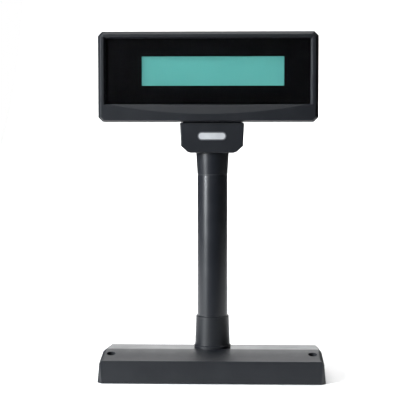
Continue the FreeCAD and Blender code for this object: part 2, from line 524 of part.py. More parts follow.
# ---- Neck -------------------------------------------------------------------------------
def neck_inside():
    """The neck's outline, drawn in so that a wall is left all round."""
    narrower = (NECK_TOP_HALF - NECK_WALL) / NECK_TOP_HALF
    shorter = 1 - 2 * NECK_WALL / (NECK_Z1 - NECK_Z0)
    return [(x * narrower, NECK_Z1 - NECK_WALL - (NECK_Z1 - z) * shorter) for x, z in NECK_OUTLINE]


def make_neck_shells():
    outer = prism_xz(NECK_OUTLINE, -NECK_Y, NECK_Y)
    outer = outer.makeFillet(NECK_FILLET, edges_where(outer, lambda p: abs(p.y) > NECK_Y - 0.1))
    outer = joined(outer, turret(0.0, NECK_Z1 - 3))
    depth = NECK_Y - NECK_WALL
    shell = without(outer, prism_xz(neck_inside(), -depth, depth))
    shell = without(shell, turret(TURRET_WALL, NECK_Z1 - 4),
                    box(-SLOT_X, SLOT_X, SLOT_Y0, SLOT_Y1, TURRET_Z1 - 3, TURRET_Z1 + 1),
                    upright(COLLAR_NECK_R + 0.1, 0, 0, NECK_Z0 - 1, NECK_PLATE_Z0))
    posts = [level(NECK_POST_R, x, z, -NECK_Y + 1, NECK_Y - 1) for x, z in NECK_POSTS]
    posts += [upright(BRACKET_POST_R, x, y, NECK_Z0, NECK_PLATE_Z0) for x, y in BRACKET_POSTS]
    shell = joined(shell, *[post.common(outer) for post in posts])
    shell = without(shell, *[upright(NECK_PILOT_R, x, y, BRACKET_PILOT_Z0, NECK_PLATE_Z1)
                             for x, y in BRACKET_POSTS])

    front_half = box(-NECK_TOP_HALF - 1, NECK_TOP_HALF + 1, -NECK_Y - 1, -NECK_SPLIT,
                     NECK_Z0 - 1, TURRET_Z1 + 1)
    front = without(shell.common(front_half), badge(SLIP_FIT, BADGE_RECESS, -NECK_Y),
                    *[level(NECK_PILOT_R, x, z, -NECK_SEAT_Y, 1) for x, z in NECK_POSTS])
    save("neck_front_shell", front)
    rear = shell.common(front_half.mirror(V(0, 0, 0), Y))
    for x, z in NECK_POSTS:
        rear = without(rear, level(NECK_HOLE_R, x, z, -1, NECK_Y + 1),
                       level(NECK_SINK_R, x, z, NECK_SEAT_Y, NECK_Y + 1))
    save("neck_rear_shell", rear)
    seats = [V(x, NECK_SEAT_Y, z) for x, z in NECK_POSTS]
    save("neck_shell_screws", *[screw(p, -Y, *NECK_SCREW) for p in seats])


def turret(inset, z0):
    """The low box on the neck's roof, moved inward by inset."""
    return box(-TURRET_X + inset, TURRET_X - inset, SLOT_Y0 - TURRET_WALL + inset,
               SLOT_Y1 + TURRET_WALL - inset, z0, TURRET_Z1 - inset)


def badge(grow, depth, y):
    """The badge's oblong on the neck's front, from y inward, its outline grown by grow."""
    radius = BADGE_R + grow
    body = box(-BADGE_HALF, BADGE_HALF, y - 0.01, y + depth, BADGE_Z - radius, BADGE_Z + radius)
    ends = [level(radius, s * BADGE_HALF, BADGE_Z, y - 0.01, y + depth) for s in (-1, 1)]
    return joined(body, *ends)


def make_badge():
    face = -NECK_Y - BADGE_PROUD
    plate = badge(0.0, BADGE_RECESS + BADGE_PROUD - SLIP_FIT, face)
    field = badge(-BADGE_RIM, BADGE_INLAY, face)
    save("badge_plate", without(plate, field))
    save("badge_inlay", field)


def make_collar():
    collar = turned([
        (COLLAR_BORE_R, COLLAR_Z0), (COLLAR_R0, COLLAR_Z0), (COLLAR_R1, COLLAR_Z1),
        (COLLAR_NECK_R, COLLAR_Z1), (COLLAR_NECK_R, FLANGE_Z0), (FLANGE_R, FLANGE_Z0),
        (FLANGE_R, FLANGE_Z1 - 0.03), (COLLAR_BORE_R, FLANGE_Z1 - 0.03),
    ])
    groove = sector(5.0, STOP_GROOVE_R, 90 + STOP_LAND_HALF, 450 - STOP_LAND_HALF,
                    COLLAR_Z0 - 1, STOP_Z1)
    save("swivel_collar", without(collar, groove))


def ear(x0, x1, radius, corners):
    """A flat ear across X with a round end on the tilt axis; corners are its shank."""
    lug = rod(radius, V(x0, TILT_Y, TILT_Z), V(x1, TILT_Y, TILT_Z))
    return joined(lug, prism_yz(corners, x0, x1))


def both_sides(shape):
    return [shape, shape.mirror(V(0, 0, 0), X)]


def make_neck_frame():
    plate = box(-NECK_PLATE_X, NECK_PLATE_X, -NECK_PLATE_Y, NECK_PLATE_Y,
                NECK_PLATE_Z0, NECK_PLATE_Z1)
    upright_edges = [e for e in plate.Edges if abs(e.tangentAt(0).z) > 0.9]
    plate = plate.makeFillet(NECK_PLATE_CORNER, upright_edges)
    arm = [(TILT_Y - NECK_EAR_R, NECK_PLATE_Z0), (TILT_Y + NECK_EAR_R, NECK_PLATE_Z0),
           (TILT_Y + NECK_EAR_R, TILT_Z), (TILT_Y - NECK_EAR_R, TILT_Z)]
    ears = both_sides(ear(NECK_EAR_X0, NECK_EAR_X1, NECK_EAR_R, arm))
    bracket = joined(plate, *ears)
    pin = rod(TILT_R + 0.02, V(-40, TILT_Y, TILT_Z), V(40, TILT_Y, TILT_Z))
    drills = [(NECK_PLATE_HOLE_R, x, y) for x, y in BRACKET_POSTS] + [(NECK_PLATE_BORE_R, 0, 0)]
    holes = [upright(r, x, y, NECK_Z0, SPIGOT_Z1) for r, x, y in drills]
    save("neck_bracket", without(bracket, pin, *holes))
    seats = [V(x, y, NECK_PLATE_Z1) for x, y in BRACKET_POSTS]
    save("neck_bracket_screws", *[screw(p, -Z, *BRACKET_SCREW) for p in seats])
    low = NECK_PLATE_Z1 + SLIP_FIT
    high = low + WAVE_RISE + WAVE_THICK
    washer = turned([
        (WAVE_INNER_R, low), (WAVE_INNER_R + 0.7, low), (WAVE_OUTER_R, low + WAVE_RISE),
        (WAVE_OUTER_R, high), (WAVE_OUTER_R - 0.7, high), (WAVE_INNER_R, low + WAVE_THICK),
    ])
    save("swivel_spring_washer", washer)


def axle_ring(outer, inner, x0, x1):
    """A washer on the tilt axis."""
    return rod(outer, V(x0, TILT_Y, TILT_Z), V(x1, TILT_Y, TILT_Z)).cut(
        rod(inner, V(x0 - 1, TILT_Y, TILT_Z), V(x1 + 1, TILT_Y, TILT_Z)))


def make_tilt_hardware():
    bolt = joined(
        rod(BOLT_HEAD_R, V(BOLT_HEAD_X, TILT_Y, TILT_Z), V(BOLT_SEAT_X, TILT_Y, TILT_Z)),
        rod(TILT_R, V(BOLT_SEAT_X - 0.1, TILT_Y, TILT_Z), V(BOLT_END_X, TILT_Y, TILT_Z)))
    bolt = bolt.makeChamfer(BOLT_CHAMFER, edges_where(
        bolt, lambda p: p.x < BOLT_HEAD_X + 0.1 or p.x > BOLT_END_X - 0.1))
    key = hexagon(BOLT_KEY_FLATS, -0.2, BOLT_KEY_DEPTH)
    key.rotate(V(0, 0, 0), Y, 90)
    key.translate(V(BOLT_HEAD_X, TILT_Y, TILT_Z))
    save("tilt_bolt", without(bolt, key))
    nut = hexagon(NUT_WIDTH, 0, NUT_LENGTH)
    nut.rotate(V(0, 0, 0), Y, 90)
    nut.translate(V(-BOLT_SEAT_X, TILT_Y, TILT_Z))
    hole = rod(TILT_R + 0.02, V(0, TILT_Y, TILT_Z), V(40, TILT_Y, TILT_Z))
    save("tilt_lock_nut", without(nut, hole))
    bore = TILT_R + SLIP_FIT
    save("friction_washers", *both_sides(axle_ring(FRICTION_R, bore, FRICTION_X0, FRICTION_X1)))
    save("tilt_spring_washers", *both_sides(axle_ring(SPRING_R, bore, SPRING_X0, SPRING_X1)))


def make_neck():
    make_neck_shells()
    make_badge()
    make_collar()
    make_neck_frame()
    make_tilt_hardware()
    lead = [V(0, 0, NECK_JOIN_Z + 0.1), V(0, 0, NECK_JOIN_Z + 10),
            V(0, HINGE_LEAD_Y, TURRET_Z1 - 6), V(0, HINGE_LEAD_Y, TILT_Z - 1.5)]
    save("harness_neck", tube_along(lead, HARNESS_R))


# ---- Head -------------------------------------------------------------------------------
def head_outline(side=0.0, top=0.0, foot=0.0, cut=HEAD_CORNER):
    """The casing's cut-corner outline, moved inward by these amounts."""
    return cut_corner_rectangle(
        HEAD_X - HEAD_HALF_WIDTH + side, HEAD_X + HEAD_HALF_WIDTH - side,
        HEAD_Z0 + foot, HEAD_Z1 - top, cut)


def window_cut():
    """The bezel's opening, wider at the front, run on a little past both faces."""
    def outline(y):
        t = (y - HEAD_FRONT) / (WINDOW_PLANE - HEAD_FRONT)
        half = WINDOW_HALF_FRONT + t * (WINDOW_HALF_REAR - WINDOW_HALF_FRONT)
        z0, z1 = (a + t * (b - a) for a, b in zip(WINDOW_Z_FRONT, WINDOW_Z_REAR))
        return rectangle(HEAD_X - half, HEAD_X + half, z0, z1)
    y0, y1 = HEAD_FRONT - 0.5, WINDOW_PLANE + 0.5
    return tapered(outline(y0), y0, outline(y1), y1)


def scoop_cut():
    """The crescent below the window: a shallow cone whose rim is a wide arc."""
    run = SCOOP_DROP / SCOOP_DEPTH
    low = WINDOW_Z_FRONT[0] - SCOOP_DROP
    lead = 0.5
    cone = Part.makeCone(SCOOP_RADIUS + lead * run, SCOOP_RADIUS - 3.0 * run, 3.0 + lead,
                         V(HEAD_X, HEAD_FRONT - lead, low + SCOOP_RADIUS), Y)
    half = WINDOW_HALF_FRONT - SCOOP_END
    return cone.common(box(HEAD_X - half, HEAD_X + half, HEAD_FRONT - 1, WINDOW_PLANE - SCOOP_FLOOR,
                           low - 1, WINDOW_Z_FRONT[0] + 0.2))


def make_front_bezel():
    front = head_outline(BEZEL_BEVEL, BEZEL_BEVEL, BEZEL_FOOT_BEVEL, HEAD_INNER_CORNER)
    shoulder = HEAD_FRONT + BEZEL_BEVEL
    body = joined(tapered(front, HEAD_FRONT, head_outline(), shoulder),
                  prism_xz(head_outline(), shoulder, HEAD_PARTING)).removeSplitter()
    body = body.makeFillet(BEZEL_FILLET, edges_where(body, lambda p: p.y < shoulder + 0.1))
    inside = head_outline(BEZEL_WALL, BEZEL_WALL, BEZEL_WALL, HEAD_INNER_CORNER)
    cavity = prism_xz(inside, CHIN_FACE, HEAD_PARTING + 1)
    pocket = box(HEAD_X - POCKET_HALF, HEAD_X + POCKET_HALF, WINDOW_PLANE, CHIN_FACE + 1,
                 POCKET_Z0, POCKET_Z1)
    body = without(body, cavity, pocket, window_cut(), scoop_cut())
    ribs = []
    for dx, z in CASE_POSTS:
        x, side = HEAD_X + dx, math.copysign(1, dx)
        x0, x1 = sorted((x, HEAD_X + side * (HEAD_HALF_WIDTH - BEZEL_WALL + 1)))
        rib = box(x0, x1, BEZEL_POST_Y0, BEZEL_POST_Y1, z - BEZEL_RIB_HALF, z + BEZEL_RIB_HALF)
        ribs += [level(BEZEL_POST_R, x, z, BEZEL_POST_Y0, BEZEL_POST_Y1), rib]
    body = joined(body, *ribs)
    pilots = [level(CASE_PILOT_R, HEAD_X + dx, z, CASE_PILOT_Y0, HEAD_PARTING) for dx, z in CASE_POSTS]
    pilots += [level(CARRIER_PILOT_R, x, z, CARRIER_PILOT_Y0, CARRIER_Y1) for x, z in CARRIER_SCREWS]
    save("front_bezel", without(body, *pilots))


def cover_body(inset, y0, y1):
    """The rear cover's tapered form; inset moves every wall inward."""
    near = head_outline(inset, inset, inset, HEAD_CORNER - 0.5 * inset)
    far = head_outline(inset + COVER_SIDE_INSET, inset + COVER_TOP_INSET,
                       inset + COVER_FOOT_INSET, HEAD_CORNER - 0.5 * inset)
    return joined(prism_xz(near, y0, HEAD_BEND), tapered(near, HEAD_BEND, far, y1)).removeSplitter()


def cover_lip():
    """The lip on the rear cover's front edge that locates the bezel."""
    outer = prism_xz(head_outline(LIP_OUT, LIP_OUT, LIP_OUT, HEAD_INNER_CORNER),
                     HEAD_PARTING - LIP_FRONT, HEAD_PARTING + LIP_BACK)
    inner = prism_xz(head_outline(LIP_IN, LIP_IN, LIP_IN, HEAD_LIP_CORNER),
                     HEAD_PARTING - LIP_FRONT - 1, HEAD_PARTING + LIP_BACK + 1)
    return outer, outer.cut(inner)


def make_rear_cover():
    outer = cover_body(0.0, HEAD_PARTING, HEAD_BACK)
    outer = outer.makeFillet(COVER_FILLET, edges_where(outer, lambda p: p.y > HEAD_BACK - 0.1))
    shell = without(outer, cover_body(COVER_WALL, HEAD_PARTING - 1, HEAD_BACK - COVER_WALL))
    lip_form, lip = cover_lip()
    form = outer.fuse(lip_form)
    posts = [level(COVER_POST_R, HEAD_X + dx, z, COVER_POST_Y0, BOSS_BACK).common(form)
             for dx, z in CASE_POSTS]
    posts += [level(HEAD_BOSS_R, x, z, HEAD_PLATE_Y1, BOSS_BACK) for x, z in HEAD_PLATE_SCREWS]
    posts += [level(BOARD_BOSS_R, x, z, BOARD_Y1, BOSS_BACK) for x, z in board_holes()]
    cheeks = []
    for side in (-1, 1):
        x0, x1 = sorted((side * NOTCH_HALF, side * (NOTCH_HALF + NOTCH_CHEEK)))
        cheek = box(x0, x1, HEAD_PARTING + 0.2, BOSS_BACK, HEAD_Z0 + 0.5, NOTCH_CHEEK_TOP)
        cheeks.append(cheek.common(outer))
    shell = joined(shell, lip, *posts, *cheeks)

    beyond = HEAD_BACK + 9
    cuts = [box(-NOTCH_HALF, NOTCH_HALF, HEAD_PARTING - 4, beyond, HEAD_Z0 - 8, NOTCH_TOP)]
    for dx, z in CASE_POSTS:
        cuts += [level(CASE_HOLE_R, HEAD_X + dx, z, HEAD_PARTING - 4, beyond),
                 level(CASE_SINK_R, HEAD_X + dx, z, CASE_SEAT_Y, beyond)]
    cuts += [level(HEAD_PILOT_R, x, z, 0, PILOT_BACK) for x, z in HEAD_PLATE_SCREWS]
    cuts += [level(BOARD_PILOT_R, x, z, 0, PILOT_BACK) for x, z in board_holes()]
    save("rear_cover", without(shell, *cuts, *vent_slots()))


def vent_slots():
    """Two groups of level slots through the back wall, with round ends."""
    y0, y1 = HEAD_BACK - 6, HEAD_BACK + 9
    slots = []
    for centre in VENT_CENTRES:
        x0, x1 = centre - VENT_HALF, centre + VENT_HALF
        for row in range(VENT_ROWS):
            z = VENT_Z0 + VENT_PITCH * row
            slots.append(joined(box(x0, x1, y0, y1, z - VENT_R, z + VENT_R),
                                level(VENT_R, x0, z, y0, y1), level(VENT_R, x1, z, y0, y1)))
    return slots


def board_holes():
    inset = BOARD_HOLE_INSET
    return [(x, z) for x in (BOARD_X0 + inset, BOARD_X1 - inset)
            for z in (BOARD_Z0 + inset, BOARD_Z1 - inset)]


def make_case_screws():
    seats = [V(HEAD_X + dx, CASE_SEAT_Y, z) for dx, z in CASE_POSTS]
    save("rear_cover_screws", *[screw(p, -Y, *CASE_SCREW) for p in seats])


def make_lens():
    """The clear front pane, and the frame of tape that holds it in the bezel."""
    half, z0, z1 = POCKET_HALF - LENS_GAP, POCKET_Z0 + LENS_GAP, POCKET_Z1 - LENS_GAP
    x0, x1 = HEAD_X - half, HEAD_X + half
    clear = WINDOW_HALF_REAR + TAPE_SETBACK
    hole = box(HEAD_X - clear, HEAD_X + clear, WINDOW_PLANE - 1, LENS_Y0 + 1,
               WINDOW_Z_REAR[0] - TAPE_SETBACK, WINDOW_Z_REAR[1] + TAPE_SETBACK)
    save("lens_tape", box(x0, x1, WINDOW_PLANE, LENS_Y0, z0, z1).cut(hole))
    save("filter_lens", box(x0, x1, LENS_Y0, LENS_Y1, z0, z1))


def make_carrier():
    """The black panel behind the lens, with the opening that frames the display."""
    panel = box(HEAD_X - CARRIER_HALF, HEAD_X + CARRIER_HALF, CARRIER_Y0, CARRIER_Y1,
                CARRIER_Z0, CARRIER_Z1)
    bosses = [level(CARRIER_BOSS_R, x, z, CARRIER_Y1 - 0.5, LCD_PCB_Y0) for x, z in lcd_holes()]
    window = centred(LCD_WINDOW_HALF_X, LCD_WINDOW_HALF_Z, CARRIER_Y0 - 1, CARRIER_Y1 + 1)
    pilots = [level(LCD_PILOT_R, x, z, LCD_PILOT_Y0, LCD_PCB_Y0) for x, z in lcd_holes()]
    holes = [level(CARRIER_HOLE_R, x, z, CARRIER_Y0 - 1, CARRIER_Y1 + 1) for x, z in CARRIER_SCREWS]
    save("display_carrier", without(joined(panel, *bosses), window, *pilots, *holes))
    seats = [V(x, CARRIER_Y1, z) for x, z in CARRIER_SCREWS]
    save("carrier_screws", *[screw(p, -Y, *CARRIER_SCREW) for p in seats])


def centred(half_x, half_z, y0, y1):
    """A box about the display's centre."""
    return box(LCD_X - half_x, LCD_X + half_x, y0, y1, LCD_Z - half_z, LCD_Z + half_z)


def lcd_holes():
    return [(LCD_X + sx * LCD_HOLE_X, LCD_Z + sz * LCD_HOLE_Z) for sx in (-1, 1) for sz in (-1, 1)]


def make_display():
    """The display module: a steel can over the glass and its backlight, on a board."""
    inside_x, inside_z = LCD_CAN_HALF_X - LCD_CAN_WALL, LCD_CAN_HALF_Z - LCD_CAN_WALL
    can = without(centred(LCD_CAN_HALF_X, LCD_CAN_HALF_Z, LCD_CAN_Y0, LCD_PCB_Y0),
                  centred(inside_x, inside_z, LCD_CAN_Y0 + LCD_CAN_WALL, LCD_PCB_Y0 + 1),
                  centred(LCD_VIEW_HALF_X, LCD_VIEW_HALF_Z, LCD_CAN_Y0 - 1, LCD_PCB_Y0))
    save("lcd_can", can)
    fit = 0.2
    save("lcd_glass", centred(inside_x - fit, inside_z - fit, LCD_CAN_Y0 + LCD_CAN_WALL + SLIP_FIT,
                              LCD_GLASS_Y1))
    save("lcd_backlight", centred(inside_x - 0.5, inside_z - 0.5, LCD_GLASS_Y1 + SLIP_FIT,
                                  LCD_PCB_Y0 - 0.1))
    pcb = centred(LCD_PCB_HALF_X, LCD_PCB_HALF_Z, LCD_PCB_Y0, LCD_PCB_Y1)
    holes = [level(LCD_HOLE_R, x, z, LCD_PCB_Y0 - 1, LCD_PCB_Y1 + 1) for x, z in lcd_holes()]
    save("lcd_pcb", without(pcb, *holes))
    seats = [V(x, LCD_PCB_Y1, z) for x, z in lcd_holes()]
    save("lcd_screws", *[screw(p, -Y, *LCD_SCREW) for p in seats])
    save("lcd_driver_chips", *[
        box(x - CHIP_HALF_X, x + CHIP_HALF_X, LCD_PCB_Y1, LCD_PCB_Y1 + CHIP_HEIGHT,
            LCD_Z - CHIP_HALF_Z, LCD_Z + CHIP_HALF_Z) for x in CHIP_MIDDLES])


def make_control_board():
    board = box(BOARD_X0, BOARD_X1, BOARD_Y0, BOARD_Y1, BOARD_Z0, BOARD_Z1)
    holes = [level(LCD_HOLE_R, x, z, BOARD_Y0 - 1, BOARD_Y1 + 1) for x, z in board_holes()]
    save("control_board", without(board, *holes))
    seats = [V(x, BOARD_Y0, z) for x, z in board_holes()]
    save("control_board_screws", *[screw(p, Y, *BOARD_SCREW) for p in seats])
    face = BOARD_Y0
    parts = [box(x0, x1, face - height, face, z0, z1) for x0, x1, z0, z1, height in BOARD_PARTS]
    parts += [level(CAPACITOR_R, x, CAPACITOR_Z, face - CAPACITOR_HEIGHT, face) for x in CAPACITOR_X]
    save("control_board_parts", *parts)
    save("harness_upper_plug", box(*UPPER_PLUG_X, UPPER_PLUG_Y0, face, *UPPER_PLUG_Z))
    x0, x1 = HEADER_X
    save("ribbon_headers",
         box(x0, LCD_HEADER_X1, LCD_PCB_Y1, LCD_PCB_Y1 + HEADER_HEIGHT, *LCD_HEADER_Z),
         box(x0, x1, face - HEADER_HEIGHT, face, *BOARD_HEADER_Z))
    y0, y1 = LCD_PCB_Y1 + HEADER_HEIGHT + 0.1, face - HEADER_HEIGHT - 0.1
    upper = [(y0, RIBBON_Z0), (-3.5, RIBBON_Z0), (1.2, RIBBON_Z1), (y1, RIBBON_Z1)]
    lower = [(y1, RIBBON_Z1 - RIBBON), (1.45, RIBBON_Z1 - RIBBON), (-3.25, RIBBON_Z0 - RIBBON),
             (y0, RIBBON_Z0 - RIBBON)]
    save("lcd_ribbon", prism_yz(upper + lower, x0 + 1, x1 - 1))


def make_head_bracket():
    plate = box(-HEAD_PLATE_HALF, HEAD_PLATE_HALF, HEAD_PLATE_Y0, HEAD_PLATE_Y1,
                HEAD_PLATE_Z0, HEAD_PLATE_Z1)
    low, high = TILT_Z - HEAD_EAR_R, TILT_Z + HEAD_EAR_R
    arm = [(TILT_Y, low), (TILT_Y + 6, low), (HEAD_PLATE_Y1, HEAD_PLATE_Z0),
           (HEAD_PLATE_Y1, high), (TILT_Y, high)]
    ears = both_sides(ear(HEAD_EAR_X0, HEAD_EAR_X1, HEAD_EAR_R, arm))
    pin = rod(TILT_HOLE_R, V(-40, TILT_Y, TILT_Z), V(40, TILT_Y, TILT_Z))
    holes = [level(HEAD_PLATE_HOLE_R, x, z, 0, HEAD_BACK) for x, z in HEAD_PLATE_SCREWS]
    save("head_bracket", without(joined(plate, *ears), pin, *holes))
    seats = [V(x, HEAD_PLATE_Y0, z) for x, z in HEAD_PLATE_SCREWS]
    save("head_bracket_screws", *[screw(p, Y, *HEAD_PLATE_SCREW) for p in seats])


def make_head():
    make_front_bezel()
    make_rear_cover()
    make_case_screws()
    make_lens()
    make_carrier()
    make_display()
    make_control_board()
    make_head_bracket()
    upper = [V(0, HINGE_LEAD_Y, TILT_Z + 1.5), V(0, HINGE_LEAD_Y, UPPER_LEAD_Z),
             V(UPPER_PLUG_X[1] + 0.4, UPPER_LEAD_Y, UPPER_LEAD_Z)]
    print("upper harness bend radius", round(rounded_path(upper).Edges[1].Curve.Radius, 1))
    save("harness_upper", tube_along(upper, HARNESS_R))


def main():
    os.makedirs(PARTS, exist_ok=True)
    base_outer = make_base()
    make_inlet()
    make_pole(base_outer)
    make_neck()
    make_head()


main()
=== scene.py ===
import json
import math

import bpy
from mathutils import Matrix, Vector

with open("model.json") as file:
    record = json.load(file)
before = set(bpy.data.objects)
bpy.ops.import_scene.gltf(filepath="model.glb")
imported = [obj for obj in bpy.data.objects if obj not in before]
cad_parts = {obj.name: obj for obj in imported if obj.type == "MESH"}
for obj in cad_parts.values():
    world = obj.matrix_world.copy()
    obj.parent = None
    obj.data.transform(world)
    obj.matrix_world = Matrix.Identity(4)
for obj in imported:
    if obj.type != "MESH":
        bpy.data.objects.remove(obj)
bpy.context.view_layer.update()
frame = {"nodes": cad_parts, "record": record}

# The looks of the customer pole display. Every CAD piece is shown as it was packed, with a
# procedural material, in a plain pale studio. Lengths are in metres and places are in the CAD's
# frame: +X to the viewer's right, +Y away from the viewer, +Z up. The origin is on the floor,
# on the pole's axis.

SCENE = bpy.context.scene

# ---- Camera: in front of the display, at the height of its neck ---------------------------
CAMERA_PLACE = (0.0321, -1.180, 0.24938)
CAMERA_PITCH = 3.569           # degrees below level
CAMERA_TURN = 1.686            # degrees to the left of +Y
FOCAL, SENSOR = 96.0343, 36.0  # millimetres
CLIP_START, CLIP_END = 0.05, 50.0

# ---- Light --------------------------------------------------------------------------------
WHITE, COOL = (1.0, 1.0, 1.0), (0.93, 0.97, 1.0)
LAMPS = [
    # name, place, aim, width, height, watts, colour
    ("key", (-1.28, -0.96, 0.76), (0, 0, 0.22), 0.40, 1.1, 88.0, COOL),        # tall, at the left
    ("top", (0.3, 0.45, 2.0), (0, 0, 0.1), 1.0, 1.0, 3.5, WHITE),              # softens the shadow
    ("chin", (-0.25, -1.50, 1.10), (0, 0, 0.28), 0.45, 0.45, 4.0, WHITE),      # into the scoop
    ("back_wash", (0.0, 1.4, 2.6), (0, 3.0, 0.6), 2.4, 2.4, 170.0, WHITE),     # on the wall behind
]
AROUND_GLOW, REAR_GLOW = 0.015, 1.0   # the world's strength all round, and straight behind
GLOW_START, GLOW_END = 0.85, 0.995    # a direction's +Y part where the glow starts and is full

# ---- Studio floor, which curves up into a wall behind ---------------------------------------
FLOOR_HALF, FLOOR_FRONT = 0.85, -0.24
WALL_Y, WALL_TOP = 3.4, 2.5
SWEEP_RADIUS, SWEEP_STEPS = 1.2, 16

# ---- Surfaces -------------------------------------------------------------------------------
EDGE_RADIUS = 0.0006           # how far in from an edge the painted highlight shows
EDGE_HIGHLIGHT_LIFT = 0.5                # how far an edge moves up a moulding's range of tones, as a painted highlight
EDGE_START = 0.93              # a flat's cosine is 1, and a full edge's is this or less
CLOUD_TOP = 0.6                # where a moulding's lighter tone lies, below its painted edge highlight
EDGE_HIGHLIGHT_TONE = 2.2                  # the painted edge highlight's tone, as a multiple of the lighter tone
PAINT_BUMP = 0.00002           # height of the fine unevenness of plain parts and metals

PLAIN = {
    # slot: darker tone, lighter tone, roughness
    "backlight_white": ((0.74, 0.80, 0.78), (0.80, 0.86, 0.84), 0.40),
    "foot_rubber": ((0.016, 0.016, 0.016), (0.024, 0.024, 0.024), 0.80),
    "part_black": ((0.016, 0.016, 0.017), (0.024, 0.024, 0.026), 0.50),
    "acetal": ((0.66, 0.65, 0.60), (0.74, 0.73, 0.68), 0.42),
    "connector_cream": ((0.68, 0.64, 0.54), (0.76, 0.72, 0.62), 0.45),
    "badge_rim": ((0.045, 0.047, 0.052), (0.060, 0.062, 0.068), 0.30),
    "badge_face": ((0.30, 0.305, 0.315), (0.36, 0.365, 0.375), 0.32),
    "cable_jacket": ((0.026, 0.026, 0.028), (0.038, 0.038, 0.041), 0.55),
    "ribbon_grey": ((0.40, 0.41, 0.43), (0.50, 0.51, 0.53), 0.40),
}
METALS = {
    # slot: darker tone, lighter tone, roughness, how the grain is drawn out
    "plated_steel": ((0.52, 0.52, 0.50), (0.62, 0.62, 0.59), 0.34, (1, 8, 8)),
    "spring_steel": ((0.36, 0.36, 0.38), (0.46, 0.46, 0.48), 0.28, (1, 1, 1)),
    "ballast_iron": ((0.10, 0.10, 0.105), (0.17, 0.165, 0.165), 0.62, (1, 1, 1)),
    "contact_brass": ((0.72, 0.55, 0.24), (0.80, 0.64, 0.32), 0.25, (1, 1, 1)),
    "screw_black": ((0.035, 0.035, 0.038), (0.06, 0.06, 0.064), 0.38, (1, 1, 1)),
}


# ---- Materials ------------------------------------------------------------------------------
class Look:
    """A principled material, built node by node."""

    def __init__(self, name, color, roughness, **sockets):
        self.material = bpy.data.materials.new(name)
        self.material.use_nodes = True
        self.tree = self.material.node_tree
        self.shader = self.tree.nodes["Principled BSDF"]
        self.shader.inputs["Base Color"].default_value = (*color, 1.0)
        self.shader.inputs["Roughness"].default_value = roughness
        for socket, value in sockets.items():
            self.shader.inputs[socket.replace("_", " ")].default_value = value
        self.place = self.add("ShaderNodeTexCoord").outputs["Object"]

    def add(self, kind, **settings):
        """A new node; each setting goes to the socket of that name, or else to the property."""
        node = self.tree.nodes.new(kind)
        for key, value in settings.items():
            if key in node.inputs:
                node.inputs[key].default_value = value
            else:
                setattr(node, key, value)
        return node

    def link(self, output, target, socket=0):
        self.tree.links.new(output, target.inputs[socket])

    def noise(self, scale, detail=2.0, roughness=0.5, stretch=(1, 1, 1)):
        """Noise with a grain about 1/scale metres across, finer along a stretched axis."""
        mapping = self.add("ShaderNodeMapping", Scale=stretch)
        self.link(self.place, mapping)
        noise = self.add("ShaderNodeTexNoise", Scale=scale, Detail=detail, Roughness=roughness)
        self.link(mapping.outputs["Vector"], noise)
        return noise.outputs["Fac"]

    def cells(self, scale):
        """Small rounded cells, as on a spark-eroded mould."""
        voronoi = self.add("ShaderNodeTexVoronoi", Scale=scale)
        self.link(self.place, voronoi, "Vector")
        return voronoi.outputs["Distance"]

    def span(self, factor, low, high, start=0.3, end=0.7):
        """Maps a factor that runs from start to end onto a range of values."""
        node = self.add("ShaderNodeMapRange")
        for socket, value in (("From Min", start), ("From Max", end),
                              ("To Min", low), ("To Max", high)):
            node.inputs[socket].default_value = value
        self.link(factor, node, "Value")
        return node.outputs["Result"]

    def colors(self, factor, *stops):
        """A colour ramp from (position, colour) stops to the base colour."""
        ramp = self.add("ShaderNodeValToRGB")
        elements = ramp.color_ramp.elements
        while len(elements) < len(stops):
            elements.new(0.5)
        for element, (position, color) in zip(elements, stops):
            element.position, element.color = position, (*color, 1.0)
        self.link(factor, ramp)
        self.link(ramp.outputs["Color"], self.shader, "Base Color")
        return ramp.outputs["Color"]

    def rough(self, factor, low, high, start=0.3, end=0.7):
        self.link(self.span(factor, low, high, start, end), self.shader, "Roughness")

    def bump(self, factor, height, strength):
        """Adds a bump of this height in metres on top of any earlier one."""
        node = self.add("ShaderNodeBump", Strength=strength, Distance=height)
        self.link(factor, node, "Height")
        before = self.shader.inputs["Normal"].links
        if before:
            self.link(before[0].from_socket, node, "Normal")
        self.link(node.outputs["Normal"], self.shader, "Normal")

    def painted_edge_highlight(self):
        """1 on edges and 0 on flats, from how far a bevelled normal leans from the true one: the
        mask for a painted highlight along edges.
        """
        bevel = self.add("ShaderNodeBevel", samples=4, Radius=EDGE_RADIUS)
        geometry = self.add("ShaderNodeNewGeometry")
        dot = self.add("ShaderNodeVectorMath", operation="DOT_PRODUCT")
        self.link(bevel.outputs["Normal"], dot, 0)
        self.link(geometry.outputs["Normal"], dot, 1)
        return self.span(dot.outputs["Value"], 1.0, 0.0, start=EDGE_START, end=1.0)


def moulded(name, dark, light, roughness, specular, grain, depth):
    """Moulded ABS: a fine spark texture, faint cloudiness and slightly paler edges, which are a
    painted highlight.
    """
    look = Look(name, dark, roughness, Specular_IOR_Level=specular)
    cloud = look.noise(scale=22.0, detail=4.0, roughness=0.55)
    cloud = look.span(cloud, 0.0, CLOUD_TOP, start=0.3, end=0.72)
    # Edges are lifted towards a paler tone: a painted highlight along the bevels.
    tone = look.add("ShaderNodeMath", operation="MULTIPLY_ADD")
    look.link(look.painted_edge_highlight(), tone, 0)
    tone.inputs[1].default_value = EDGE_HIGHLIGHT_LIFT
    look.link(cloud, tone, 2)
    highlight_tone = tuple(EDGE_HIGHLIGHT_TONE * channel for channel in light)
    look.colors(tone.outputs["Value"], (0.0, dark), (CLOUD_TOP, light), (1.0, highlight_tone))
    look.rough(look.noise(scale=60.0, detail=3.0), roughness - 0.02, roughness + 0.04)
    look.bump(look.cells(grain), depth, strength=0.6)
    look.bump(look.noise(scale=0.6 * grain, detail=3.0, roughness=0.6), depth, strength=0.5)
    return look.material


